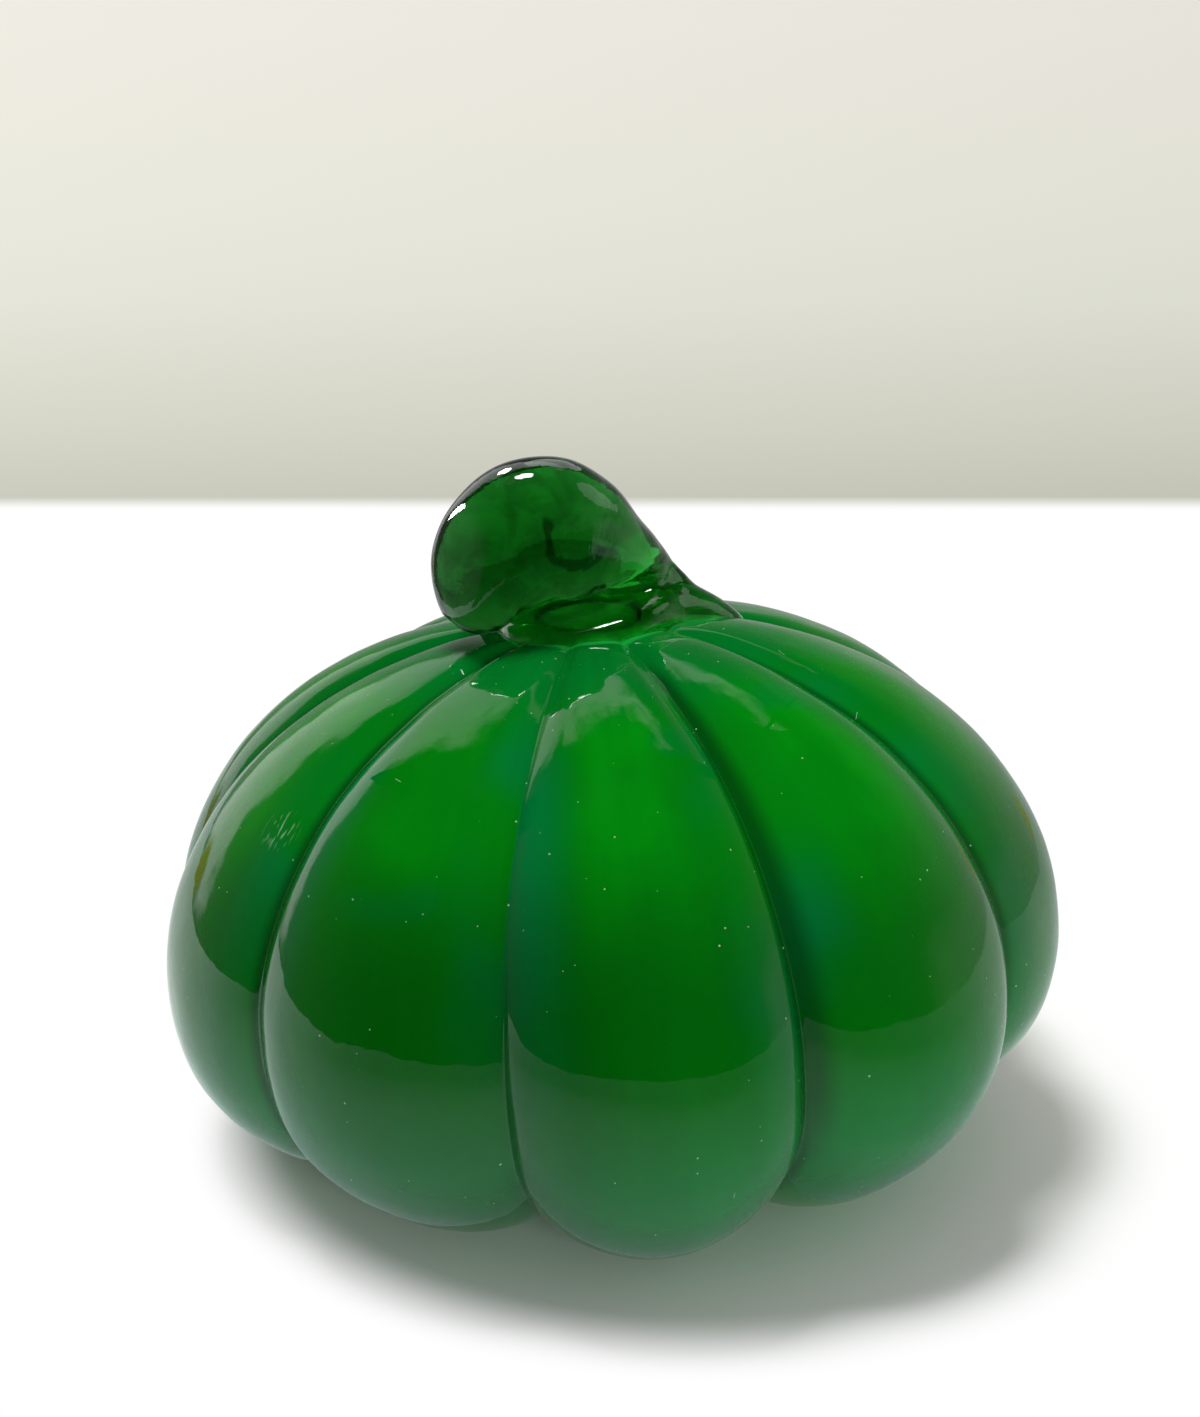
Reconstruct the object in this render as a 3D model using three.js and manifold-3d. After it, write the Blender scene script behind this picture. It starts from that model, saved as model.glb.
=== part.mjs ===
// Blown glass gourd: a ten-lobed body of green glass cased over opal, closed by a solid curled stem.
// Millimetres, +Z up, standing on z = 0. The front faces -Y.

import * as THREE from 'three';
import { mergeVertices } from 'three/addons/utils/BufferGeometryUtils.js';
import Module from 'manifold-3d';

const wasm = await Module();
wasm.setup();

// Main sizes
const girthRadius = 56.3; // the body at its widest, without the lobes
const crownHeight = 69.3; // the body's top, under the stem
const kickRadius = 24.5; // the dent in the underside
const kickHeight = 7.2;
const footHeight = 2.2; // what the body's own line keeps above the table, under the lobes
const lobeDepth = 5.1; // how far the lobes stand out where they are deepest
const curlReach = 16.5; // from the middle of the crown out to the end of the curl
const curlRise = 13.4; // from the crown up to the middle of the curl
const curlThickness = 9; // half across the curl where it is thickest
const footRadius = 12; // the stem's foot on the crown
const spurLength = 8.8; // how far one edge of the foot is drawn out

// Glass walls and fits
const casingWall = 2.2; // outer layer, transparent green
const opalWall = 1.8; // inner layer, opal
const clearance = 0.3; // between one layer of glass and the next
const crackOffRadius = 7; // hole where the body was cracked off the blowpipe
const plugDepth = 3.6; // how far the stem's glass sags into that hole
const plugLap = 0.6; // how far the plug runs up into the stem's foot

// The body without its lobes, from the crown down to the foot.
// Radius, height and lobe are shares of the girth radius, the crown height and the lobe depth.
const bodyLine = [
  { radius: 0.32, height: 0.981, lobe: 0.16 }, // crown
  { radius: 0.542, height: 0.919, lobe: 0.31 },
  { radius: 0.746, height: 0.817, lobe: 0.45 }, // shoulder
  { radius: 0.911, height: 0.665, lobe: 0.59 },
  { radius: 1, height: 0.481, lobe: 0.75 }, // girth
  { radius: 0.973, height: 0.283, lobe: 0.92 },
  { radius: 0.817, height: 0.14, lobe: 1 }, // haunch
  { radius: 0.622, height: 0.065, lobe: 0.94 },
];

// The dented underside inside the foot, in shares of the kick's radius and height
const kickLine = [
  { radius: 0.571, height: 0.24, lobe: 0.16 },
  { radius: 0.245, height: 0.84, lobe: 0 },
  { radius: 0, height: 1, lobe: 0 },
];
const footLobe = 0.65; // share of the lobe depth that is left at the foot

// Lobes counted round from the back left: degrees each takes, and its swell against the others
const lobes = [
  { width: 35.4, swell: 1.2 },
  { width: 40.1, swell: 0.85 },
  { width: 35.5, swell: 0.77 },
  { width: 34.6, swell: 1.17 },
  { width: 36.2, swell: 1.06 },
  { width: 39.8, swell: 0.88 },
  { width: 37.7, swell: 0.68 },
  { width: 32.3, swell: 0.95 },
  { width: 32.3, swell: 1 },
  { width: 36.1, swell: 1.18 },
];
const firstGroove = 147.3; // degrees round from +X
const lobeRoundness = 0.55; // below 1 fills the lobes out and keeps the grooves between them sharp

// The body set a little crooked, with its lobes evened out where it was pressed flat
const bodyLean = 3.9; // degrees, towards -X
const settleFrom = 0.63; // share of the way down the body line
const settleTo = 0.8;

// The stem's foot: sections up from the crown, in shares of the foot's radius and the curl's rise.
// along and up place the middle, thick and wide are half sizes in and across the plane of the curl,
// turn tips the section, and spur is the share of the spur's length that draws its edge out.
const stemTurn = 24; // degrees from +X round to the plane of the curl
const footLine = [
  { along: 0.03, up: -0.3, thick: 1.03, wide: 0.92, turn: 0, spur: 1 },
  { along: 0.04, up: -0.03, thick: 1.03, wide: 0.91, turn: 0, spur: 0.9 }, // foot
  { along: 0.08, up: 0.1, thick: 0.99, wide: 0.9, turn: 3, spur: 0.58 },
  { along: 0.17, up: 0.2, thick: 0.86, wide: 0.82, turn: 7, spur: 0.25 }, // lip
  { along: 0.33, up: 0.28, thick: 0.61, wide: 0.63, turn: 14, spur: 0.2 },
  { along: 0.48, up: 0.36, thick: 0.44, wide: 0.5, turn: 22, spur: 0.12 }, // neck
  { along: 0.51, up: 0.46, thick: 0.41, wide: 0.45, turn: 26, spur: 0.03 },
];

// The curl, in shares of its reach, rise and thickness. turn goes from 0 lying flat to 180 upside down.
const curlLine = [
  { along: 0.33, up: 0.57, thick: 0.53, wide: 0.59, turn: 40 },
  { along: 0.21, up: 0.66, thick: 0.64, wide: 0.65, turn: 58 },
  { along: 0.04, up: 0.8, thick: 0.87, wide: 0.72, turn: 74 },
  { along: -0.22, up: 0.93, thick: 1.04, wide: 0.81, turn: 92 }, // top of the curl
  { along: -0.53, up: 0.93, thick: 1.04, wide: 0.85, turn: 110 },
  { along: -0.78, up: 0.74, thick: 0.95, wide: 0.87, turn: 128 },
  { along: -0.93, up: 0.52, thick: 0.78, wide: 0.8, turn: 142 },
  { along: -0.98, up: 0.3, thick: 0.61, wide: 0.67, turn: 154 },
  { along: -1, up: 0.12, thick: 0.42, wide: 0.44, turn: 162 }, // end
  { along: -1, up: 0.03, thick: 0.18, wide: 0.2, turn: 166 },
];
const spurTurn = -18; // degrees round from the plane of the curl
const spurSpread = 17; // degrees over which the spur runs back into the foot

// The sheared end of the curl, pressed flat: how far past the middle of the end the flat lies,
// and which way it faces, in degrees from the plane of the curl and above level
const endPress = 3.1;
const endTurn = 22;
const endTilt = 10;

// How finely the curved surfaces are cut into flats
const lobeSteps = 8;
const outerRows = 26;
const innerRows = 13;
const stemSides = 28;
const stemRows = 34;
const plugSteps = 4;

const degrees = THREE.MathUtils.degToRad;

// Body

// The body line in real sizes, from the crack-off hole to the middle of the kick
function bodyStations() {
  const hole = { radius: crackOffRadius, height: crownHeight, lobe: 0 };
  const foot = { radius: kickRadius, height: footHeight, lobe: footLobe * lobeDepth };
  const outer = bodyLine.map(({ radius, height, lobe }) => ({
    radius: radius * girthRadius,
    height: height * crownHeight,
    lobe: lobe * lobeDepth,
  }));
  const kick = kickLine.map(({ radius, height, lobe }) => ({
    radius: radius * kickRadius,
    height: THREE.MathUtils.lerp(footHeight, kickHeight, height),
    lobe: lobe * lobeDepth,
  }));
  return [hole, ...outer, foot, ...kick];
}

const bodyCurve = new THREE.CatmullRomCurve3(
  bodyStations().map(({ radius, height, lobe }) => new THREE.Vector3(radius, height, lobe)),
  false,
  'centripetal',
);

// A place on the body line sunk below the surface: its radius, height and lobe depth, and which way is out
function bodyRow(share, inset) {
  const place = bodyCurve.getPointAt(share);
  const along = bodyCurve.getTangentAt(share);
  const out = new THREE.Vector2(-along.y, along.x).normalize();
  const onAxis = share === 1;
  if (onAxis) {
    out.set(0, -1);
  }
  const radius = onAxis ? 0 : place.x;
  return { share, inset, radius, height: place.y, lobe: place.z, out };
}

function bodyWall(inset, rows) {
  return Array.from({ length: rows + 1 }, (_, row) => bodyRow(row / rows, inset));
}

// Which way each upright seam of the body faces, and the swell of its lobe there
function bodySeams() {
  const total = lobes.reduce((sum, { width }) => sum + width, 0);
  const seams = [];
  let turned = degrees(firstGroove);
  for (const { width, swell } of lobes) {
    const spread = (width / total) * 2 * Math.PI;
    for (let step = 0; step < lobeSteps; step += 1) {
      const across = Math.sin((step / lobeSteps - 0.5) * Math.PI); // closer together at the grooves
      const round = Math.cos((across * Math.PI) / 2);
      const rise = step === 0 ? 0 : round ** lobeRoundness;
      seams.push({ angle: turned + ((across + 1) / 2) * spread, rise, swell });
    }
    turned += spread;
  }
  return seams;
}

function bodyPoint(row, seam) {
  const settled = THREE.MathUtils.smoothstep(row.share, settleFrom, settleTo);
  const swell = THREE.MathUtils.lerp(seam.swell, 1, settled);
  const proud = row.lobe * swell * seam.rise - row.inset;
  const radius = Math.max(row.radius + row.out.x * proud, 0);
  const point = new THREE.Vector3(
    radius * Math.cos(seam.angle),
    radius * Math.sin(seam.angle),
    row.height + row.out.y * proud,
  );
  const lean = -degrees(bodyLean) * (1 - settled);
  point.applyAxisAngle(new THREE.Vector3(0, 1, 0), lean);
  point.z = Math.max(point.z, row.inset);
  return point;
}

// Turns rows of the body line round all the seams. They go up the outside and end on the axis.
function turnedBody(rows) {
  const seams = bodySeams();
  const outline = rows.map(({ radius, height }) => new THREE.Vector2(radius, height));
  const geometry = new THREE.LatheGeometry(outline, seams.length);
  const position = geometry.getAttribute('position');
  for (let turn = 0; turn <= seams.length; turn += 1) {
    rows.forEach((row, index) => {
      const { x, y, z } = bodyPoint(row, seams[turn % seams.length]);
      position.setXYZ(turn * rows.length + index, x, y, z);
    });
  }
  return welded(geometry);
}

// A blown layer, open at the crack-off hole
function blownLayer(inset, wall, outsideRows) {
  const outside = bodyWall(inset, outsideRows);
  const inside = bodyWall(inset + wall, innerRows);
  return turnedBody([...outside.reverse(), ...inside]);
}

// Cuts each four-sided flat along its other diagonal, so that a layer lies flat by flat inside the next
function otherDiagonals(geometry) {
  const corners = geometry.getIndex();
  for (let start = 0; start < corners.count; start += 6) {
    const [a, b, d, c] = [0, 1, 2, 3].map((step) => corners.getX(start + step));
    [a, b, c, a, c, d].forEach((corner, step) => corners.setX(start + step, corner));
  }
  return geometry;
}

// The whole body grown by the clearance, to cut what sits on it
function bodyCutter() {
  const outside = bodyWall(-clearance, outerRows);
  const top = { ...outside[0], radius: 0, lobe: 0, out: new THREE.Vector2(0, 1) };
  return turnedBody([...outside.reverse(), top]);
}

// Stem

// The stem's sections in real sizes, from the foot to the end of the curl
function stemStations() {
  const foot = footLine.map(({ along, up, thick, wide, turn, spur }) => ({
    along: along * footRadius,
    up: up * curlRise,
    thick: thick * footRadius,
    wide: wide * footRadius,
    turn,
    spur: spur * spurLength,
  }));
  const curl = curlLine.map(({ along, up, thick, wide, turn }) => ({
    along: along * curlReach,
    up: up * curlRise,
    thick: thick * curlThickness,
    wide: wide * curlThickness,
    turn,
    spur: 0,
  }));
  return [...foot, ...curl];
}

const stemLine = stemStations();
const stemCurve = new THREE.CatmullRomCurve3(
  stemLine.map(({ along, up }) => new THREE.Vector3(along, 0, up)),
  false,
  'centripetal',
);

// A value of the stem line a share of the way along it, eased between its sections
function stemValue(name, share) {
  const place = share * (stemLine.length - 1);
  const first = Math.min(Math.floor(place), stemLine.length - 2);
  const near = (step) => stemLine[THREE.MathUtils.clamp(first + step, 0, stemLine.length - 1)][name];
  const t = place - first;
  const rise = (near(1) - near(-1)) / 2;
  const fall = (near(2) - near(0)) / 2;
  const gap = near(1) - near(0);
  return near(0) + t * (rise + t * (3 * gap - 2 * rise - fall + t * (rise + fall - 2 * gap)));
}

// How far round a section an angle is from the spur
function fromSpur(angle) {
  return THREE.MathUtils.euclideanModulo(angle - degrees(spurTurn) + Math.PI, 2 * Math.PI) - Math.PI;
}

// The flat of the sheared end
function stemEnd() {
  const facing = new THREE.Vector3(-1, 0, 0);
  facing.applyAxisAngle(new THREE.Vector3(0, 1, 0), degrees(endTilt));
  facing.applyAxisAngle(new THREE.Vector3(0, 0, 1), degrees(endTurn));
  return new THREE.Plane(facing, -(curlReach + endPress));
}

// Sections of the stem joined into one closed skin
function stemSkin() {
  const end = stemEnd();
  const points = [];
  const faces = [];
  const middles = [];
  for (let row = 0; row <= stemRows; row += 1) {
    const share = row / stemRows;
    const middle = stemCurve.getPoint(share);
    const turn = degrees(stemValue('turn', share));
    const outward = new THREE.Vector3(Math.cos(turn), 0, Math.sin(turn));
    middles.push(middle);
    for (let side = 0; side < stemSides; side += 1) {
      const angle = (side / stemSides) * 2 * Math.PI;
      const drawn = stemValue('spur', share) * Math.exp(-((fromSpur(angle) / degrees(spurSpread)) ** 2));
      const point = middle.clone();
      point.addScaledVector(outward, Math.cos(angle) * (stemValue('thick', share) + drawn));
      point.y += Math.sin(angle) * (stemValue('wide', share) + drawn);
      point.addScaledVector(end.normal, -Math.max(end.distanceToPoint(point), 0));
      points.push(point);
    }
  }
  const foot = points.push(middles[0]) - 1;
  const tip = points.push(middles[stemRows]) - 1;
  for (let side = 0; side < stemSides; side += 1) {
    const next = (side + 1) % stemSides;
    faces.push(foot, next, side);
    for (let row = 0; row < stemRows; row += 1) {
      const low = row * stemSides;
      const high = low + stemSides;
      faces.push(low + side, low + next, high + next, low + side, high + next, high + side);
    }
    faces.push(tip, stemRows * stemSides + side, stemRows * stemSides + next);
  }
  const geometry = new THREE.BufferGeometry().setFromPoints(points);
  geometry.setIndex(faces);
  return geometry;
}

// The stem's glass where it sags into the crack-off hole, round underneath
function stemPlug() {
  const radius = crackOffRadius - clearance;
  const sag = plugDepth / 2;
  const underside = new THREE.EllipseCurve(0, crownHeight - sag, radius, sag, -Math.PI / 2, 0);
  const outline = underside.getPoints(plugSteps);
  outline[0].x = 0;
  outline.push(new THREE.Vector2(radius, crownHeight + plugLap));
  outline.push(new THREE.Vector2(0, crownHeight + plugLap));
  const geometry = new THREE.LatheGeometry(outline, stemSides);
  geometry.rotateX(Math.PI / 2);
  geometry.rotateY(-degrees(bodyLean));
  return welded(geometry);
}

function stem() {
  const skin = stemSkin();
  const crown = new THREE.Vector3(0, 0, crownHeight);
  crown.applyAxisAngle(new THREE.Vector3(0, 1, 0), -degrees(bodyLean));
  skin.rotateZ(degrees(stemTurn));
  skin.translate(crown.x, crown.y, crown.z);
  return geometryOf(solidOf(skin).subtract(solidOf(bodyCutter())).add(solidOf(stemPlug())));
}

// Geometry helpers

function welded(geometry) {
  geometry.deleteAttribute('normal');
  geometry.deleteAttribute('uv');
  return mergeVertices(geometry, 1e-4);
}

function solidOf(geometry) {
  return new wasm.Manifold(new wasm.Mesh({
    numProp: 3,
    vertProperties: new Float32Array(geometry.getAttribute('position').array),
    triVerts: new Uint32Array(geometry.getIndex().array),
  }));
}

function geometryOf(solid) {
  const { vertProperties, triVerts } = solid.getMesh();
  const geometry = new THREE.BufferGeometry();
  geometry.setAttribute('position', new THREE.BufferAttribute(vertProperties, 3));
  geometry.setIndex(new THREE.BufferAttribute(triVerts, 1));
  return geometry;
}

// Assembly

const greenGlass = new THREE.MeshStandardMaterial({ color: 0x0a6a14, roughness: 0.05, metalness: 0 });
const opalGlass = new THREE.MeshStandardMaterial({ color: 0xe9eee2, roughness: 0.12, metalness: 0 });
const stemGlass = new THREE.MeshStandardMaterial({
  color: 0x1c7a2a,
  roughness: 0.04,
  metalness: 0,
  transparent: true,
  opacity: 0.6,
});

function piece(name, geometry, material) {
  const mesh = new THREE.Mesh(geometry, material);
  mesh.name = name;
  return mesh;
}

const casing = blownLayer(0, casingWall, outerRows);
const core = otherDiagonals(blownLayer(casingWall + clearance, opalWall, innerRows));

const gourd = new THREE.Group();
gourd.add(piece('green_casing', casing, greenGlass));
gourd.add(piece('opal_core', core, opalGlass));
gourd.add(piece('stem', stem(), stemGlass));

// Centred over the point that it stands on
const bounds = new THREE.Box3().setFromObject(gourd);
const middle = bounds.getCenter(new THREE.Vector3());
gourd.position.set(-middle.x, -middle.y, -bounds.min.z);

export default gourd;
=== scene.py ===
"""Blown glass gourd: ten lobes of green glass cased over opal, with a curled stem of clear green glass."""
import math

import bpy
import numpy as np
from bpy.props import FloatProperty, FloatVectorProperty, IntProperty, PointerProperty
from bpy.types import Operator, Panel, PropertyGroup
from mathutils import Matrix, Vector, noise


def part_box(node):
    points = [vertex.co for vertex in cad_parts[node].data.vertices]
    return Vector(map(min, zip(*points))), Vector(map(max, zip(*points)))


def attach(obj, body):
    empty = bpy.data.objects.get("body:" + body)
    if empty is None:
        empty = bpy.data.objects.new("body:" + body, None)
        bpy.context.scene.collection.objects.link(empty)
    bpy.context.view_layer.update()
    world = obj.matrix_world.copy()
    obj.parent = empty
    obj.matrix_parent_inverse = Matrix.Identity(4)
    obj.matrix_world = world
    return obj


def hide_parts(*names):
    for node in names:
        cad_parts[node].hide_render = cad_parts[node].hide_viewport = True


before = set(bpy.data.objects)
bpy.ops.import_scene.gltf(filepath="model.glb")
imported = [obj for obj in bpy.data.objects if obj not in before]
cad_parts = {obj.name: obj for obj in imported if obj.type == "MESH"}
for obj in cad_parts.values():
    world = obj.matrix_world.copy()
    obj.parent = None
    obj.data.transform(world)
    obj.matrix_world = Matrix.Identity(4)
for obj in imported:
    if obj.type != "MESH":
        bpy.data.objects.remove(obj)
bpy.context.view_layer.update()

bl_info = {
    "name": "Blown Glass Gourd",
    "version": (1, 0, 0),
    "blender": (4, 5, 0),
    "location": "View3D > Sidebar > Gourd",
    "description": "Builds a lobed glass gourd, its curled stem and a small studio round it",
    "category": "Add Mesh",
}

# The body's line without its lobes, from the crown's hole to the middle of the kick:
# radius, lobe depth and height, in millimetres.
BODY_LINE = (
    (7, 0, 69.3),
    (18, 0.82, 68),
    (30.5, 1.58, 63.7),
    (42, 2.3, 56.6),
    (51.3, 3, 46.1),
    (56.3, 3.82, 33.3),
    (54.8, 4.7, 19.6),
    (46, 5.1, 9.7),
    (35, 4.8, 4.5),
    (24.5, 3.3, 2.2),
    (14, 0.82, 3.4),
    (6, 0, 6.4),
    (0, 0, 7.2),
)

# Lobes counted round from the back left: degrees each takes, and its swell against the others.
LOBES = (
    (35.4, 1.2),
    (40.1, 0.85),
    (35.5, 0.77),
    (34.6, 1.17),
    (36.2, 1.06),
    (39.8, 0.88),
    (37.7, 0.68),
    (32.3, 0.95),
    (32.3, 1),
    (36.1, 1.18),
)

# Sections of the stem in the upright plane that it curls in: along and up place the middle, thick and
# wide are half sizes in and across that plane, turn tips the section and spur draws its edge out.
STEM_LINE = (
    (0.36, -4.02, 12.36, 11.04, 0, 8.8),
    (0.48, -0.4, 12.36, 10.92, 0, 7.92),
    (0.96, 1.34, 11.88, 10.8, 3, 5.1),
    (2.04, 2.68, 10.32, 9.84, 7, 2.2),
    (3.96, 3.75, 7.32, 7.56, 14, 1.76),
    (5.76, 4.82, 5.28, 6, 22, 1.06),
    (6.12, 6.16, 4.92, 5.4, 26, 0.26),
    (5.45, 7.64, 4.77, 5.31, 40, 0),
    (3.46, 8.84, 5.76, 5.85, 58, 0),
    (0.66, 10.72, 7.83, 6.48, 74, 0),
    (-3.63, 12.46, 9.36, 7.29, 92, 0),
    (-8.75, 12.46, 9.36, 7.65, 110, 0),
    (-12.87, 9.92, 8.55, 7.83, 128, 0),
    (-15.35, 6.97, 7.02, 7.2, 142, 0),
    (-16.17, 4.02, 5.49, 6.03, 154, 0),
    (-16.5, 1.61, 3.78, 3.96, 162, 0),
    (-16.5, 0.4, 1.62, 1.8, 166, 0),
)

MM_PER_METRE = 1000
LINE_STEPS = 40  # points of the body's line between two of its stations
WELD_DISTANCE = 2e-6

# What the lobed layer's rule can be given: name, kind and default
LAYER_INPUTS = (
    ("Geometry", "Geometry", None),
    ("Lobe Marks", "Object", None),
    ("Steps per Lobe", "Int", 16),
    ("Outer Rows", "Int", 60),
    ("Inner Rows", "Int", 30),
    ("First Groove", "Float", 0.0),
    ("Lobe Roundness", "Float", 0.55),
    ("Groove Softness", "Float", 0.03),
    ("Inset", "Float", 0.0),
    ("Wall", "Float", 0.002),
    ("Lean", "Float", 0.0),
    ("Open Crown", "Float", 1.0),
    ("Settle From", "Float", 0.63),
    ("Settle To", "Float", 0.8),
    ("Fold", "Float", 0.0),
    ("Wave Height", "Float", 0.0),
    ("Wave Scale", "Float", 90.0),
    ("Material", "Material", None),
)

# Places on the glass, in metres
STEM_FOOT = (-0.0025, 0.0003, 0.0690)  # middle of what the stem covers
STEM_SHIFT = (0.00225, 0.00032)  # from the leaned crown's middle to where the stem is set
SCUFF = (-0.0393, -0.0281, 0.0506)  # on the left lobe
CURL = (-0.004, 0, 0.08)  # what the stem's small lamps are aimed at
# Painted shade: CURL_FOLD is the middle of the dark hook painted on the curl for a fold in the glass
CURL_FOLD = (-0.0035, -0.0082, 0.0824)  # what the fold in the curl bends round

DUST_COLOUR = (0.36, 0.52, 0.38, 1)
DUST_HEIGHT = 0.00003
FIBRE_HALF_WIDTH = 0.00003

# The mirrored room: its radius in metres, and the ways from the gourd to what lights it
TENT_RADIUS = 0.43
WINDOW_ACROSS = (0.743, 0.669, -0.508)
WINDOW_AHEAD = (-0.669, 0.743, 0)
WARM_LEFT = (-0.79, 0.61, 0.02)
WARM_RIGHT = (0.7, 0.7, 0.03)

# Small lamps that only the stem mirrors: name, place, width and watts
GLINTS = (
    ("glint_window", (-0.289, 0.08, 0.166), 0.09, 0.6),
    ("glint_ceiling", (-0.116, 0.193, 0.35), 0.07, 0.4),
    ("glint_wall", (0.06, 0.24, 0.32), 0.2, 0.09),
    ("glint_lamp", (-0.004, 0.029, 0.378), 0.075, 0.38),
    ("glint_side", (0.271, 0.044, 0.266), 0.17, 0.05),
)


class GourdBody(PropertyGroup):
    """Sizes and colours of the two blown layers."""

    roundness: FloatProperty(
        name="Lobe Roundness", description="Below 1 fills the lobes out and keeps the grooves narrow",
        default=0.55, min=0.2, max=2)
    groove_softness: FloatProperty(
        name="Groove Softness", description="How far the bottom of each groove is rounded over",
        default=0.035, min=0, max=0.5)
    first_groove: FloatProperty(
        name="First Groove", description="Where the first groove lies, round from the right",
        default=math.radians(147.3), subtype="ANGLE", unit="ROTATION")
    lean: FloatProperty(
        name="Lean", description="How far the body leans to the left",
        default=math.radians(3.9), subtype="ANGLE", unit="ROTATION")
    casing_wall: FloatProperty(
        name="Casing Wall", description="Thickness of the green layer",
        default=0.0022, subtype="DISTANCE", unit="LENGTH")
    opal_wall: FloatProperty(
        name="Opal Wall", description="Thickness of the white layer",
        default=0.0018, subtype="DISTANCE", unit="LENGTH")
    clearance: FloatProperty(
        name="Clearance", description="Gap between the two layers",
        default=0.0003, subtype="DISTANCE", unit="LENGTH")
    wave_height: FloatProperty(
        name="Wave Height", description="How uneven the blown surface is",
        default=0.00018, subtype="DISTANCE", unit="LENGTH")
    casing_steps: IntProperty(
        name="Steps per Lobe", description="Faces across each lobe of the casing", default=40, min=6)
    casing_rows: IntProperty(
        name="Rows", description="Rows of faces down the outside of the casing", default=160, min=10)
    green: FloatVectorProperty(
        name="Green", description="Colour of the cased glass", subtype="COLOR", size=4,
        default=(0.0005, 0.133, 0.003, 1))
    # Painted light: the colour of the glow painted where light from above shines through the white layer
    glow: FloatVectorProperty(
        name="Glow", description="Colour where the white layer shines through most", subtype="COLOR",
        size=4, default=(0.0005, 0.195, 0.003, 1))
    teal: FloatVectorProperty(
        name="Teal", description="Tint of the cooler clouds in the glass", subtype="COLOR", size=4,
        default=(0.0005, 0.13, 0.026, 1))
    # Painted light: the colour under the stem's foot, brighter for the light that comes through its glass
    painted_light_under_stem: FloatVectorProperty(
        name="Under the Stem", description="Colour seen through the foot of the stem", subtype="COLOR",
        size=4, default=(0.002, 0.32, 0.03, 1))
    # Painted shade: how much brightness is left round the waist
    painted_waist_shade: FloatProperty(
        name="Waist", description="Brightness left where the green layer is thickest",
        default=0.64, min=0, max=1)
    ripple: FloatProperty(
        name="Ripple", description="Height of the fine unevenness",
        default=0.000025, subtype="DISTANCE", unit="LENGTH")
    shaded_lobe: IntProperty(
        name="Shaded Lobe", description="The lobe whose first flank is the darkest", default=4, min=0)
    soft_groove: IntProperty(
        name="Soft Groove", description="The lobe before which the groove hardly darkens", default=3, min=0)
    fold: FloatProperty(
        name="Fold", description="Extra depth of the folds gathered in at the crown",
        default=0.0006, subtype="DISTANCE", unit="LENGTH")
    # Colour in the grooves: the thicker glass, and painted shade where less light reaches
    deep_green_and_shade: FloatVectorProperty(
        name="Deep Green", description="Colour in the grooves, where the glass is thickest",
        subtype="COLOR", size=4, default=(0.0005, 0.03, 0.003, 1))
    roughness: FloatProperty(
        name="Roughness", description="Roughness of the polished surface", default=0.03, min=0, max=1)


class GourdStem(PropertyGroup):
    """Sizes and finish of the stem."""

    turn: FloatProperty(
        name="Turn", description="Plane of the curl, round from the right",
        default=math.radians(24), subtype="ANGLE", unit="ROTATION")
    spur_turn: FloatProperty(
        name="Spur Turn", description="Where the spur points, round from the plane of the curl",
        default=math.radians(-18), subtype="ANGLE", unit="ROTATION")
    spur_spread: FloatProperty(
        name="Spur Spread", description="How far round the foot the spur runs back",
        default=math.radians(17), subtype="ANGLE", unit="ROTATION")
    end_reach: FloatProperty(
        name="End Reach", description="From the middle of the crown out to the flat of the sheared end",
        default=0.0196, subtype="DISTANCE", unit="LENGTH")
    end_turn: FloatProperty(
        name="End Turn", description="Which way the flat faces, round from the plane of the curl",
        default=math.radians(22), subtype="ANGLE", unit="ROTATION")
    end_tilt: FloatProperty(
        name="End Tilt", description="How far up the flat faces",
        default=math.radians(10), subtype="ANGLE", unit="ROTATION")
    end_softness: FloatProperty(
        name="End Softness", description="Rounding round the flat of the sheared end",
        default=0.0004, subtype="DISTANCE", unit="LENGTH")
    unevenness: FloatProperty(
        name="Unevenness", description="How far the pulled glass strays from its line",
        default=0.00012, subtype="DISTANCE", unit="LENGTH")
    seed: IntProperty(
        name="Seed", description="Which draw of the unevenness is used", default=1795735011, min=1)
    sides: IntProperty(name="Sides", description="Faces round the stem", default=144, min=12)
    rows: IntProperty(name="Rows", description="Rows of faces between two sections", default=14, min=1)
    roughness: FloatProperty(
        name="Roughness", description="Roughness of the fire-polished surface", default=0.01, min=0, max=1)


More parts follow.
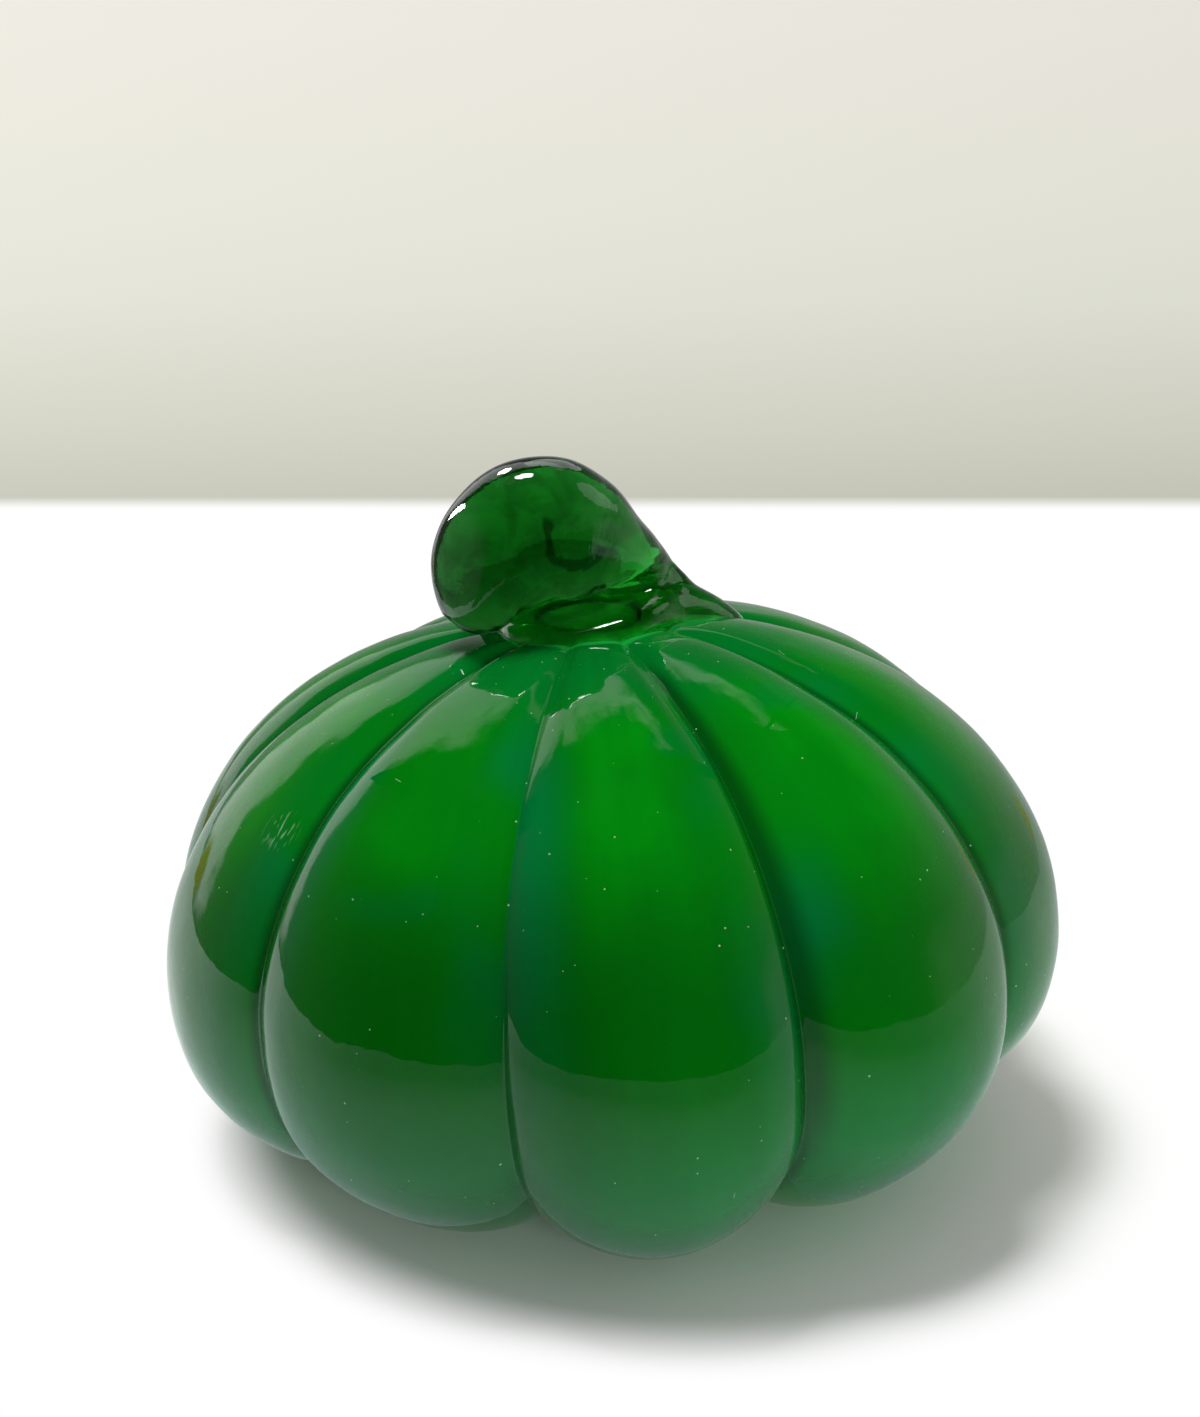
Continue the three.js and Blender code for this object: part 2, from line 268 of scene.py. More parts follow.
class GourdStage(PropertyGroup):
    """Table, wall, light and camera."""

    table: FloatVectorProperty(
        name="Table", description="Colour of the table", subtype="COLOR", size=4,
        default=(0.86, 0.86, 0.85, 1))
    wall_low: FloatVectorProperty(
        name="Wall at the Table", description="Colour of the wall where it meets the table",
        subtype="COLOR", size=4, default=(0.57, 0.575, 0.49, 1))
    wall_high: FloatVectorProperty(
        name="Wall Above", description="Colour of the wall higher up", subtype="COLOR", size=4,
        default=(0.83, 0.81, 0.735, 1))
    room: FloatVectorProperty(
        name="Room", description="Colour of the soft light from all round", subtype="COLOR", size=4,
        default=(0.43, 0.43, 0.42, 1))
    background: FloatVectorProperty(
        name="Background", description="Colour seen beyond the table and the wall", subtype="COLOR",
        size=4, default=(0.62, 0.61, 0.56, 1))
    table_edge: FloatProperty(
        name="Table Edge", description="From the middle of the table to its front edge",
        default=0.72, subtype="DISTANCE", unit="LENGTH")
    wall_distance: FloatProperty(
        name="Wall Distance", description="From the gourd back to the wall",
        default=0.44, subtype="DISTANCE", unit="LENGTH")
    wall_height: FloatProperty(
        name="Wall Height", description="How high the wall stands",
        default=0.6, subtype="DISTANCE", unit="LENGTH")
    half_width: FloatProperty(
        name="Half Width", description="From the middle out to either side of the table and the wall",
        default=1.2, subtype="DISTANCE", unit="LENGTH")
    camera_place: FloatVectorProperty(
        name="Camera", description="Where the camera stands", subtype="TRANSLATION", size=3,
        default=(-0.000086, -0.241153, 0.132466))
    camera_pitch: FloatProperty(
        name="Pitch", description="How far the camera looks down",
        default=math.radians(17.357), subtype="ANGLE", unit="ROTATION")
    camera_yaw: FloatProperty(
        name="Yaw", description="How far the camera looks to the left",
        default=math.radians(0.219), subtype="ANGLE", unit="ROTATION")
    lens: FloatProperty(name="Lens", description="Focal length in millimetres", default=48.27)


def arithmetic(operation, swapped=False):
    """A Python operator that adds the node for it, on numbers or on whole vectors."""
    def result(value, other):
        pair = (other, value) if swapped else (value, other)
        whole = value.socket.type in ("VECTOR", "RGBA")
        return (value.nodes.vector if whole else value.nodes.math)(operation, *pair)

    return result


class Value:
    """A number, vector or colour that runs along a wire, so that rules read as plain arithmetic."""

    __add__ = arithmetic("ADD")
    __sub__ = arithmetic("SUBTRACT")
    __rsub__ = arithmetic("SUBTRACT", swapped=True)
    __mul__ = arithmetic("MULTIPLY")
    __truediv__ = arithmetic("DIVIDE")
    __pow__ = arithmetic("POWER")
    __mod__ = arithmetic("MODULO")
    __lt__ = arithmetic("LESS_THAN")
    __gt__ = arithmetic("GREATER_THAN")

    def __init__(self, nodes, socket):
        self.nodes, self.socket = nodes, socket

    def __abs__(self):
        return self.nodes.math("ABSOLUTE", self)

    def ease(self, low, high, start=0.0, end=1.0):
        """Eases from start to end as the value goes from low to high."""
        return self.nodes.value("ShaderNodeMapRange", {
            "Value": self, "From Min": low, "From Max": high, "To Min": start, "To Max": end,
        }, interpolation_type="SMOOTHSTEP")

    def scaled(self, factor):
        """A vector or colour made longer or brighter."""
        return self.nodes.value("ShaderNodeVectorMath", {0: self, "Scale": factor}, operation="SCALE")


class NodeTree:
    """Adds nodes to a node tree and wires them up. A wire runs from each input given as a Value."""

    def __init__(self, tree):
        self.tree = tree

    def add(self, kind, inputs=None, **settings):
        node = self.tree.nodes.new(kind)
        for name, value in settings.items():
            setattr(node, name, value)
        for socket, value in (inputs or {}).items():
            self.feed(node.inputs[socket], value)
        return node

    def feed(self, socket, value):
        if isinstance(value, Value):
            self.tree.links.new(value.socket, socket)
        else:
            socket.default_value = value

    def value(self, kind, inputs=None, output=0, **settings):
        """What comes out of a new node."""
        return Value(self, self.add(kind, inputs, **settings).outputs[output])

    def outputs(self, kind, inputs=None, **settings):
        """All that comes out of a new node, by name."""
        return {socket.name: Value(self, socket) for socket in self.add(kind, inputs, **settings).outputs}

    def split(self, value, kind="ShaderNodeSeparateXYZ"):
        return [Value(self, socket) for socket in self.add(kind, {0: value}).outputs]

    def join(self, x=0.0, y=0.0, z=0.0):
        return self.value("ShaderNodeCombineXYZ", {0: x, 1: y, 2: z})

    def grey(self, value):
        return self.value("ShaderNodeCombineColor", {0: value, 1: value, 2: value})

    def math(self, operation, *values):
        return self.value("ShaderNodeMath", dict(enumerate(values)), operation=operation)

    def vector(self, operation, *values, output=0):
        return self.value("ShaderNodeVectorMath", dict(enumerate(values)), output, operation=operation)

    def dot(self, first, second):
        return self.vector("DOT_PRODUCT", first, second, output="Value")

    def distance(self, first, second):
        return self.vector("DISTANCE", first, second, output="Value")

    def highest(self, first, *others):
        for other in others:
            first = self.math("MAXIMUM", first, other)
        return first

    def blend(self, share, first, second):
        """From one number to another."""
        return self.value("ShaderNodeMix", {0: share, 2: first, 3: second})

    def mix(self, share, first, second, **settings):
        """From one colour to another."""
        node = self.add("ShaderNodeMix", data_type="RGBA", **settings)
        sockets = [socket for socket in node.inputs if socket.enabled]
        for socket, given in zip(sockets, (share, first, second)):
            self.feed(socket, given)
        return Value(self, [socket for socket in node.outputs if socket.enabled][0])

    def noise(self, place, scale, detail=2.0, roughness=0.5, distortion=0.0):
        return self.value("ShaderNodeTexNoise", {
            "Vector": place, "Scale": scale, "Detail": detail, "Roughness": roughness,
            "Distortion": distortion})

    def place(self):
        """The point of the surface, in metres from the gourd's origin."""
        return self.value("ShaderNodeTexCoord", output="Object")

    def attribute(self, name, output="Fac"):
        return self.value("ShaderNodeAttribute", output=output, attribute_name=name)


def cubic_spans(knots, leave, arrive, steps):
    """Points from each knot to the next, which leave and arrive with the given slopes."""
    share = np.linspace(0, 1, steps, endpoint=False)[:, None]
    spans = []
    for start, end, out, into in zip(knots, knots[1:], leave, arrive):
        rise = end - start
        bend = 3 * rise - 2 * out - into + share * (out + into - 2 * rise)
        spans.append(start + share * (out + share * bend))
    return np.vstack([*spans, knots[-1:]])


def smooth_line(stations, steps):
    """Points of a centripetal curve through the stations, with so many steps from one to the next."""
    knots = np.asarray(stations, float)
    padded = np.vstack([2 * knots[0] - knots[1], knots, 2 * knots[-1] - knots[-2]])
    leave, arrive = [], []
    for before, start, end, after in zip(padded, padded[1:], padded[2:], padded[3:]):
        pairs = ((before, start), (start, end), (end, after))
        lead, gap, follow = (np.sqrt(np.linalg.norm(b - a)) for a, b in pairs)
        leave.append(((start - before) / lead - (end - before) / (lead + gap) + (end - start) / gap) * gap)
        arrive.append(((end - start) / gap - (after - start) / (gap + follow) + (after - end) / follow) * gap)
    return cubic_spans(knots, leave, arrive, steps)


def eased_values(stations, steps):
    """Values of the stations eased from one to the next, with so many steps between two."""
    knots = np.asarray(stations, float)
    slope = np.gradient(knots, axis=0)
    slope[0], slope[-1] = (knots[1] - knots[0]) / 2, (knots[-1] - knots[-2]) / 2
    return cubic_spans(knots, slope, slope[1:], steps)


def new_object(name, data):
    piece = bpy.data.objects.new(name, data)
    bpy.context.scene.collection.objects.link(piece)
    return piece


def profile_object():
    """The body's line as a string of edges. Y holds the lobe depth."""
    line = smooth_line(BODY_LINE, LINE_STEPS) / MM_PER_METRE
    mesh = bpy.data.meshes.new("body_line")
    mesh.from_pydata(line.tolist(), [(i, i + 1) for i in range(len(line) - 1)], [])
    return new_object("body_line", mesh)


def lobe_marks_object():
    """One point for each lobe, which carries where it starts, how wide it is and how far it swells."""
    mesh = bpy.data.meshes.new("lobe_marks")
    mesh.from_pydata([(index * 0.01, 0, 0) for index in range(len(LOBES))], [], [])
    total = sum(width for width, _ in LOBES)
    widths = [width / total * 2 * math.pi for width, _ in LOBES]
    values = {
        "start": [sum(widths[:index]) for index in range(len(LOBES))],
        "width": widths,
        "swell": [swell for _, swell in LOBES],
    }
    for name, numbers in values.items():
        mesh.attributes.new(name, "FLOAT", "POINT").data.foreach_set("value", numbers)
    return new_object("lobe_marks", mesh)


def lobed_layer_tree():
    """The rule of a blown layer: a line turned about the upright axis, swollen into lobes and leaned over."""
    tree = bpy.data.node_groups.new("Lobed Layer", "GeometryNodeTree")
    for name, kind, default in LAYER_INPUTS:
        socket = tree.interface.new_socket(name, in_out="INPUT", socket_type="NodeSocket" + kind)
        if default is not None:
            socket.default_value = default
    tree.interface.new_socket("Geometry", in_out="OUTPUT", socket_type="NodeSocketGeometry")
    n = NodeTree(tree)
    given = n.outputs("NodeGroupInput")
    outer, inner, per_lobe = given["Outer Rows"], given["Inner Rows"], given["Steps per Lobe"]
    marks = n.value("GeometryNodeObjectInfo", {"Object": given["Lobe Marks"]}, "Geometry")

    # A flat grid: one column for each upright seam, one row for each step along the line
    lobe_count = n.value("GeometryNodeAttributeDomainSize", {"Geometry": marks}, "Point Count")
    seams = lobe_count * per_lobe
    rows = outer + inner + 1.0
    grid = n.value("GeometryNodeMeshGrid", {
        "Size X": 1.0, "Size Y": 1.0, "Vertices X": seams + 1.0, "Vertices Y": rows + 1.0})
    flat = n.split(n.value("GeometryNodeInputPosition"))
    column = n.math("ROUND", (flat[0] + 0.5) * seams)
    row = n.math("ROUND", (flat[1] + 0.5) * rows)

    # Rows climb the outside of the layer and come back down its inside
    inside = row > outer
    outside = 1.0 - inside
    share = n.blend(inside, 1.0 - row / outer, (row - outer - 1.0) / inner)
    inset = given["Inset"] + inside * given["Wall"]

    # The place on the line, and which way is out of it
    line = n.value("GeometryNodeMeshToCurve", {"Mesh": given["Geometry"]})
    spot = n.outputs("GeometryNodeSampleCurve", {"Curves": line, "Factor": share}, use_all_curves=True)
    reach, lobe_depth, level = n.split(spot["Position"])
    heading = n.split(spot["Tangent"])
    length = n.math("SQRT", heading[0] ** 2.0 + heading[2] ** 2.0)
    on_axis = share > 0.99999
    off_axis = 1.0 - on_axis
    out_radius = heading[2] * -1.0 / length * off_axis
    out_up = heading[0] / length * off_axis - on_axis

    # The lobe that each seam belongs to, and how far across it the seam lies
    count = n.math("FLOOR", column / per_lobe + 0.0001)
    lobe = count % lobe_count
    step = (column - count * per_lobe) / per_lobe
    across = n.math("SINE", (step - 0.5) * math.pi)

    def of_lobe(name):
        mark = n.value("GeometryNodeInputNamedAttribute", {"Name": name}, "Attribute", data_type="FLOAT")
        return n.value("GeometryNodeSampleIndex", {"Geometry": marks, "Value": mark, "Index": lobe})

    part = (across + 1.0) * 0.5
    angle = given["First Groove"] + (of_lobe("start") + part * of_lobe("width"))
    round_x, round_y = n.math("COSINE", angle), n.math("SINE", angle)

    # Swell of the lobe, with the groove rounded over and the lobes evened out at the foot
    soft = given["Groove Softness"] * given["Groove Softness"]
    power = given["Lobe Roundness"] * 0.5
    bottom, top = soft ** power, (soft + 1.0) ** power
    arch = n.math("COSINE", across * (math.pi / 2)) ** 2.0
    rise = ((arch + soft) ** power - bottom) / (top - bottom)
    settled = share.ease(given["Settle From"], given["Settle To"])
    swell = n.blend(settled, of_lobe("swell"), 1.0)

    # Blown unevenness, and folds where the grooves are gathered in at the crown
    bare = n.join(reach * round_x, reach * round_y, level)
    wave = (n.noise(bare, given["Wave Scale"]) - 0.5) * given["Wave Height"] * 2.0 * outside
    gathered = share.ease(0.01, 0.07) * share.ease(0.1, 0.34, 1.0, 0.25)
    fold = given["Fold"] * abs(across).ease(0.6, 1.0) * gathered * outside
    proud = lobe_depth * swell * rise - fold + wave - inset

    # Turned about the axis, leaned over, and kept off the table
    radius = n.highest(reach * off_axis + out_radius * proud, 0.0)
    radius = radius * n.highest(share > 0.0001, given["Open Crown"])
    upright = n.join(radius * round_x, radius * round_y, level + out_up * proud)
    lean = given["Lean"] * (settled - 1.0)
    leaned = n.value("ShaderNodeVectorRotate", {"Vector": upright, "Angle": lean}, rotation_type="Y_AXIS")
    x, y, z = n.split(leaned)

    # Kept on the surface for the glass's colours: -1 at a lobe's start to 1 at its end, the share of the way
    # down and the lobe's number. They're stored while the grid is flat, because all the rest reads its place.
    shape = grid
    for name, value in (("across", across), ("down", share), ("lobe", lobe)):
        shape = n.value("GeometryNodeStoreNamedAttribute", {
            "Geometry": shape, "Name": name, "Value": value}, data_type="FLOAT", domain="POINT")
    place = n.join(x, y, n.highest(z, inset))
    shape = n.value("GeometryNodeSetPosition", {"Geometry": shape, "Position": place})
    shape = n.value("GeometryNodeMergeByDistance", {"Geometry": shape, "Distance": WELD_DISTANCE})
    shape = n.value("GeometryNodeSetShadeSmooth", {"Geometry": shape})
    shape = n.value("GeometryNodeRealizeInstances", {"Geometry": shape})
    shape = n.value("GeometryNodeSetMaterial", {"Geometry": shape, "Material": given["Material"]})
    n.add("NodeGroupOutput", {"Geometry": shape})
    return tree


def blown_layer(name, values):
    """Runs the lobed layer tree with the given inputs and keeps its result as a plain mesh."""
    tree = bpy.data.node_groups.get("Lobed Layer") or lobed_layer_tree()
    marks = lobe_marks_object()
    source = profile_object()
    modifier = source.modifiers.new("Lobed Layer", "NODES")
    modifier.node_group = tree
    keys = {item.name: item.identifier for item in tree.interface.items_tree if item.in_out == "INPUT"}
    for label, value in {"Lobe Marks": marks, **values}.items():
        modifier[keys[label]] = value
    evaluated = source.evaluated_get(bpy.context.evaluated_depsgraph_get())
    mesh = bpy.data.meshes.new_from_object(evaluated)
    mesh.name = name
    source.modifiers.remove(modifier)
    for helper in (source, marks):
        bpy.data.objects.remove(helper)
    return new_object(name, mesh)


def corners(mesh):
    spots = np.zeros(len(mesh.vertices) * 3)
    mesh.vertices.foreach_get("co", spots)
    return spots.reshape(-1, 3)


def seated(piece, shift):
    """Moves a piece's mesh along the table."""
    spots = corners(piece.data)
    spots[:, :2] += shift
    piece.data.vertices.foreach_set("co", spots.ravel())
    piece.data.update()
    return piece


def outward(piece):
    """Turns the faces round if the mesh encloses a negative volume."""
    mesh = piece.data
    mesh.calc_loop_triangles()
    spots = corners(mesh)
    faces = np.zeros(len(mesh.loop_triangles) * 3, int)
    mesh.loop_triangles.foreach_get("vertices", faces)
    a, b, c = (spots[faces.reshape(-1, 3)[:, side]] for side in range(3))
    if np.einsum("ij,ij->i", a, np.cross(b, c)).sum() < 0:
        mesh.flip_normals()
    return piece


def principled(name):
    material = bpy.data.materials.new(name)
    material.use_nodes = True
    nodes = material.node_tree.nodes
    return material, NodeTree(material.node_tree), nodes["Principled BSDF"], nodes["Material Output"]


def bumped(n, height, *sockets):
    """Feeds the normals from a height in metres."""
    normal = n.value("ShaderNodeBump", {"Strength": 1.0, "Distance": 1.0, "Height": height})
    for socket in sockets:
        n.feed(socket, normal)


def cells(n, place, per_metre):
    """Scattered cells, with two lots drawn for each."""
    cell = n.outputs("ShaderNodeTexVoronoi", {"Vector": place, "Scale": per_metre})
    first, second, _ = n.split(cell["Color"], "ShaderNodeSeparateColor")
    return cell, first, second


def dust_on(n, place):
    """Tiny specks in some cells of the surface and a few short straight fibres in others."""
    cell, lot, size = cells(n, place, 700.0)
    speck = (cell["Distance"] < size ** 2.0 * 0.09) * (lot > 0.3)
    cell, lot, size = cells(n, place, 130.0)
    aim = n.vector("NORMALIZE", cell["Color"] - (0.5, 0.5, 0.5))
    off = abs(n.dot(place - cell["Position"], aim))
    fibre = (off < FIBRE_HALF_WIDTH) * (cell["Distance"] < size * 0.13) * (lot > 0.8)
    return n.highest(speck, fibre)


def green_cased_glass(settings):
    """Green glass over white: a painted glow of light in the upper middle of each lobe, cooler beside the
    grooves, painted shade in the grooves, at the waist and on the left, with dust and a scuff.
    """
    material, n, shader, _ = principled("green_cased_glass")
    place = n.place()
    x = n.split(place)[0]
    across, down, lobe = n.attribute("across"), n.attribute("down"), n.attribute("lobe")
    groove = abs(across)
    place_by_lobe = place + n.join(lobe * 0.37, 0.0, lobe * 0.21)

    # Painted light: a bright glow painted in the upper middle of each lobe, for light from above shining
    # through the white layer, in soft clouds that differ from lobe to lobe
    clouds = n.noise(place_by_lobe, 42.0, detail=3.0, roughness=0.55)
    upper = down.ease(0.09, 0.2) * down.ease(0.27, 0.43, 1.0, 0.0)
    painted_glow = groove.ease(0.1, 0.85, 1.0, 0.0) * upper * clouds.ease(0.32, 0.6, 0.3, 1.0)
    colour = n.mix(painted_glow, settings.green, settings.glow)

    # Cooler tint on the flanks, in a few spots, and towards both ends; towards the foot it is also a painted
    # cool reflection of the table
    cool = n.noise(place_by_lobe, 30.0, roughness=0.6, distortion=0.4).ease(0.38, 0.66)
    flank = groove.ease(0.35, 0.85) * down.ease(0.08, 0.24)
    spot = n.noise(place_by_lobe, 55.0, detail=1.0).ease(0.62, 0.74) * 0.45
    ends = down.ease(0.1, 0.2, 0.5, 0.0) + down.ease(0.46, 0.56, 0.0, 0.7)
    colour = n.mix(n.highest(flank * cool, spot, ends), colour, settings.teal)

    # Painted shade and light: darker round the waist and in front on the left and lighter to the right, for
    # how the light falls on the body, and lighter again towards the foot
    foot_rise = down.ease(0.42, 0.56, 0.0, 0.2) + down.ease(0.6, 0.75, 0.0, 0.5)
    painted_waist_shade = down.ease(0.27, 0.42, 1.0, settings.painted_waist_shade) + foot_rise
    # Painted shade on the front left and painted light on the right
    left = abs(x + 0.015).ease(0.008, 0.028, -0.27, 0.0) * down.ease(0.26, 0.4)
    uneven = left + 1.07 + x.ease(0.005, 0.03, 0.0, 0.08)
    streaks = n.noise(n.join(lobe * 7.3, groove * 3.1, down * 3.0), 1.0)
    colour = colour.scaled(painted_waist_shade * uneven * streaks.ease(0.3, 0.7, 0.95, 1.05))

    # Painted shade: dark in the grooves, all but one, where the glass is thicker and less light reaches, and
    # on the first flank of one lobe
    from_soft = abs(lobe + (across > 0.0) - settings.soft_groove)
    crease_depth_and_shade = groove.ease(0.9, 0.995) * down.ease(0.03, 0.22) * from_soft.ease(0.6, 0.8, 0.15, 1.0)
    shaded = abs(lobe - settings.shaded_lobe).ease(0.1, 0.6, 1.0, 0.0) * across.ease(-0.95, -0.76, 1.0, 0.0)
    shaded = shaded * down.ease(0.06, 0.12) * down.ease(0.5, 0.62, 1.0, 0.0)
    colour = n.mix(n.highest(crease_depth_and_shade, shaded) * 0.72, colour, settings.deep_green_and_shade)
    # Painted light: a brighter green under the stem's foot, for the light that comes through the stem's glass
    foot = n.distance(place, STEM_FOOT).ease(0.0112, 0.0128, 1.0, 0.0)
    colour = n.mix(foot, colour, settings.painted_light_under_stem)

    # Dust all over and a fan of fine strokes rubbed into the left lobe
    dust = dust_on(n, place)
    rub = n.distance(place, SCUFF).ease(0.0006, 0.0034, 1.0, 0.0)
    strokes = n.join(n.dot(place, (3000.0, -300.0, -1800.0)), n.dot(place, (250.0, 100.0, 420.0)))
    scuff = rub * n.noise(strokes, 1.0, detail=1.0).ease(0.54, 0.68)
    mark = n.highest(dust * 0.7, scuff * 0.4)
    n.feed(shader.inputs["Base Color"], n.mix(mark, colour, DUST_COLOUR))
    haze = n.noise(place, 60.0, detail=4.0, roughness=0.7).ease(0.45, 0.75, 0.0, 0.04)
    rough = haze + settings.roughness + rub * 0.1
    n.feed(shader.inputs["Roughness"], n.highest(rough, dust * 0.6, foot))
    shader.inputs["IOR"].default_value = 1.5

    # Blown unevenness, and dust standing proud
    ripple = n.noise(place, 320.0) * settings.ripple
    broad = n.noise(place, 110.0) * (settings.ripple * 4)
    bumped(n, ripple + broad + dust * DUST_HEIGHT, shader.inputs["Normal"])
    return material


def opal_glass():
    """White opal glass, a little milky and clouded."""
    material, n, shader, _ = principled("opal_glass")
    milk = n.noise(n.place(), 45.0, detail=3.0).ease(0.3, 0.7)
    n.feed(shader.inputs["Base Color"], n.mix(milk, (0.74, 0.77, 0.7, 1), (0.86, 0.87, 0.82, 1)))
    n.feed(shader.inputs["Roughness"], milk.ease(0.0, 1.0, 0.1, 0.2))
    shader.inputs["IOR"].default_value = 1.5
    return material


def green_clear_glass(settings):
    """Clear green glass that darkens with its thickness, mottled and ridged by the pulling."""
    material, n, shader, output = principled("green_clear_glass")
    place, along = n.place(), n.attribute("drawn", "Vector")
    mottle = n.noise(place, 210.0, detail=3.0, roughness=0.6, distortion=0.6).ease(0.36, 0.64)
    curl = n.split(along)[0].ease(10.0, 15.0)
    low = curl * n.split(place)[2].ease(0.0775, 0.088, 1.0, 0.0)
    curl_tint = n.mix(low, (0.2, 0.45, 0.22, 1), (0.13, 0.26, 0.14, 1))
    tint = n.mix(curl, (0.35, 1, 0.42, 1), curl_tint)

    # Painted shade: a dark hook painted on the front of the curl, for a fold in the glass that bends the
    # light away
    off = abs(n.distance(place, CURL_FOLD) - mottle.ease(0.0, 1.0, 0.0040, 0.0048))
    below = n.dot(place, (-0.47, -0.15, -0.87)).ease(-0.0696, -0.0682)
    painted_fold_shade = off.ease(0.0003, 0.0012, 1.0, 0.0) * below
    clear = mottle.ease(0.0, 1.0, 0.6, 1.0) * painted_fold_shade.ease(0.0, 1.0, 1.0, 0.12)
    n.feed(shader.inputs["Base Color"], tint.scaled(clear))
    shader.inputs["Transmission Weight"].default_value = 1
    shader.inputs["IOR"].default_value = 1.22
    shader.inputs["Coat Weight"].default_value = 1
    shader.inputs["Coat IOR"].default_value = 1.5
    smear = n.noise(place, 220.0, detail=3.0).ease(0.5, 0.8, 0.0, 0.04)
    n.feed(shader.inputs["Roughness"], smear + settings.roughness)

    # Long wrinkles round the draw, short level stretch marks and dimples
    wrinkles = n.noise(along, 1.0, roughness=0.6) * 0.00005
    level = n.noise(place * (330.0, 330.0, 2100.0), 1.0, detail=1.0, distortion=0.5)
    dimples = n.noise(place, 260.0) * 0.00004
    relief = wrinkles + (level.ease(0.5, 0.75) * 0.000004 + dimples)
    bumped(n, relief, shader.inputs["Normal"], shader.inputs["Coat Normal"])
    n.feed(output.inputs["Volume"], n.value(
        "ShaderNodeVolumeAbsorption", {"Color": (0.0, 0.7, 0.12, 1), "Density": 250.0}))
    return material


def stem_mesh(settings):
    """The stem drawn through its sections, pressed flat at its end, in millimetres on the crown's middle."""
    middles = smooth_line([(along, 0, up) for along, up, *_ in STEM_LINE], settings.rows)
    thick, wide, turn, spur = eased_values([station[2:] for station in STEM_LINE], settings.rows).T
    angles = np.linspace(0, 2 * np.pi, settings.sides, endpoint=False)
    off = (angles - settings.spur_turn + np.pi) % (2 * np.pi) - np.pi
    drawn = spur[:, None] * np.exp(-((off / settings.spur_spread) ** 2))
    tip = np.radians(turn)
    across = np.cos(angles) * (thick[:, None] + drawn)
    skin = np.empty((len(middles), settings.sides, 3))
    skin[..., 0] = middles[:, None, 0] + np.cos(tip)[:, None] * across
    skin[..., 1] = np.sin(angles) * (wide[:, None] + drawn)
    skin[..., 2] = middles[:, None, 2] + np.sin(tip)[:, None] * across

    # Hand-drawn unevenness, from a fixed seed because the noise otherwise starts from the clock
    noise.seed_set(settings.seed)
    for row, col in np.ndindex(skin.shape[:2]):
        spot = Vector(skin[row, col] * 0.16)
        skin[row, col] += np.array(noise.noise_vector(spot)) * settings.unevenness * MM_PER_METRE

    # The sheared end: what lies past its plane is pressed back to it, with a soft rim
    tilt, swing = settings.end_tilt, settings.end_turn
    facing = np.array([-math.cos(tilt) * math.cos(swing), -math.cos(tilt) * math.sin(swing), math.sin(tilt)])
    soft = settings.end_softness * MM_PER_METRE
    past = skin @ facing - settings.end_reach * MM_PER_METRE
    held = -soft * np.logaddexp(0, -past / soft)
    skin += (held - past)[..., None] * facing

    rows, sides = skin.shape[:2]
    spots = skin.reshape(-1, 3)
    foot, end = len(spots), len(spots) + 1
    spots = np.vstack([spots, skin[0].mean(0), skin[-1].mean(0)])
    side = np.arange(sides)
    nxt = (side + 1) % sides
    faces = [(foot, b, a) for a, b in zip(side, nxt)]
    for row in range(rows - 1):
        low, high = row * sides, (row + 1) * sides
        faces += [(low + a, low + b, high + b, high + a) for a, b in zip(side, nxt)]
    faces += [(end, (rows - 1) * sides + a, (rows - 1) * sides + b) for a, b in zip(side, nxt)]

    # How far each point lies along the draw and round it, for the wrinkles
    run = np.concatenate([[0], np.cumsum(np.linalg.norm(np.diff(middles, axis=0), axis=1))])
    drawn_out = np.zeros((len(spots), 3))
    drawn_out[:-2, 0] = np.repeat(run * 0.9, sides)
    drawn_out[:-2, 1] = np.tile(np.cos(angles) * 3.2, rows)
    drawn_out[:-2, 2] = np.tile(np.sin(angles) * 3.2, rows)
    drawn_out[-1, 0] = run[-1] * 0.9
    return spots, faces, drawn_out


def shared_inputs(body):
    """What the casing and the core have in common."""
    return {
        "Inner Rows": 30,
        "First Groove": body.first_groove,
        "Lobe Roundness": body.roundness,
        "Groove Softness": body.groove_softness,
        "Lean": body.lean,
    }


class GOURD_OT_casing(Operator):
    """Blow the green casing"""

    bl_idname = "gourd.casing"
    bl_label = "Green Casing"

    def execute(self, context):
        body = context.scene.gourd_body
        piece = blown_layer("casing_glass", {
            **shared_inputs(body),
            "Steps per Lobe": body.casing_steps,
            "Outer Rows": body.casing_rows,
            "Inset": 0.0,
            "Wall": body.casing_wall,
            "Fold": body.fold,
            "Wave Height": body.wave_height,
            "Material": green_cased_glass(body),
        })
        finish_layer(piece, "green_casing")
        return {"FINISHED"}


class GOURD_OT_core(Operator):
    """Blow the white opal core"""

    bl_idname = "gourd.core"
    bl_label = "Opal Core"

    def execute(self, context):
        body = context.scene.gourd_body
        piece = blown_layer("core_glass", {
            **shared_inputs(body),
            "Steps per Lobe": 16,
            "Outer Rows": 60,
            "Inset": body.casing_wall + body.clearance,
            "Wall": body.opal_wall,
            "Open Crown": 0.0,
            "Material": opal_glass(),
        })
        finish_layer(piece, "opal_core")
        return {"FINISHED"}


def finish_layer(piece, node):
    """Seats a blown layer on the CAD node that it stands for."""
    spots = corners(piece.data)
    low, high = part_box(node)
    middle = (spots.min(0) + spots.max(0)) / 2
    seated(piece, np.array((low + high) / 2)[:2] - middle[:2])
    outward(piece)
    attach(piece, "root")
    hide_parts(node)


